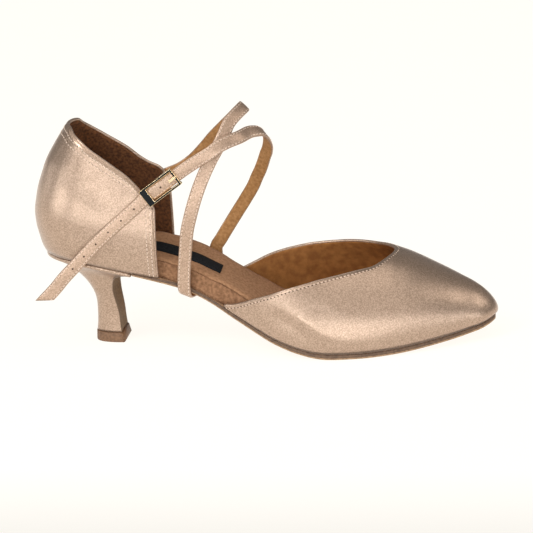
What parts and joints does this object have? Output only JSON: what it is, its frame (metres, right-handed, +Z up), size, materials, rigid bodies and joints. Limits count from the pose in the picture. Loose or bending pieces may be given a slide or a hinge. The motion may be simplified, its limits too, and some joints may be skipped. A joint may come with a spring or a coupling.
{
  "type": "ballroom dance shoe",
  "caption": "Closed-toe dance court shoe with hollow vamp and heel cup, open waist, a long strap crossed over the instep to a side buckle, and a flared covered heel.",
  "frame": {"origin": "middle of the heel tip, on the floor", "axes": "+X towards the toe, +Y towards the inner side of the foot, +Z up"},
  "size_m": [0.2448, 0.0805, 0.129],
  "materials": {
    "satin": "champagne satin over a stiffened backing",
    "strap_satin": "folded champagne satin, stitched",
    "brown_suede": "suede nap",
    "tan_suede": "mottled suede wrap",
    "split_leather": "split leather, brushed",
    "tip_rubber": "matt tan",
    "woven_black": "woven",
    "enamel": "black enamel with gold edges",
    "gold": "polished"
  },
  "bodies": {
    "root": {"outsole": "split_leather", "insole": "tan_suede", "sock": "brown_suede", "sock_label": "woven_black", "vamp": "satin", "counter": "satin", "heel": "satin", "heel_tip": "tip_rubber", "strap_outer": "strap_satin", "strap_inner": "strap_satin", "buckle_frame": "enamel", "buckle_prong": "gold", "buckle_tab": "strap_satin"}
  },
  "joints": []
}
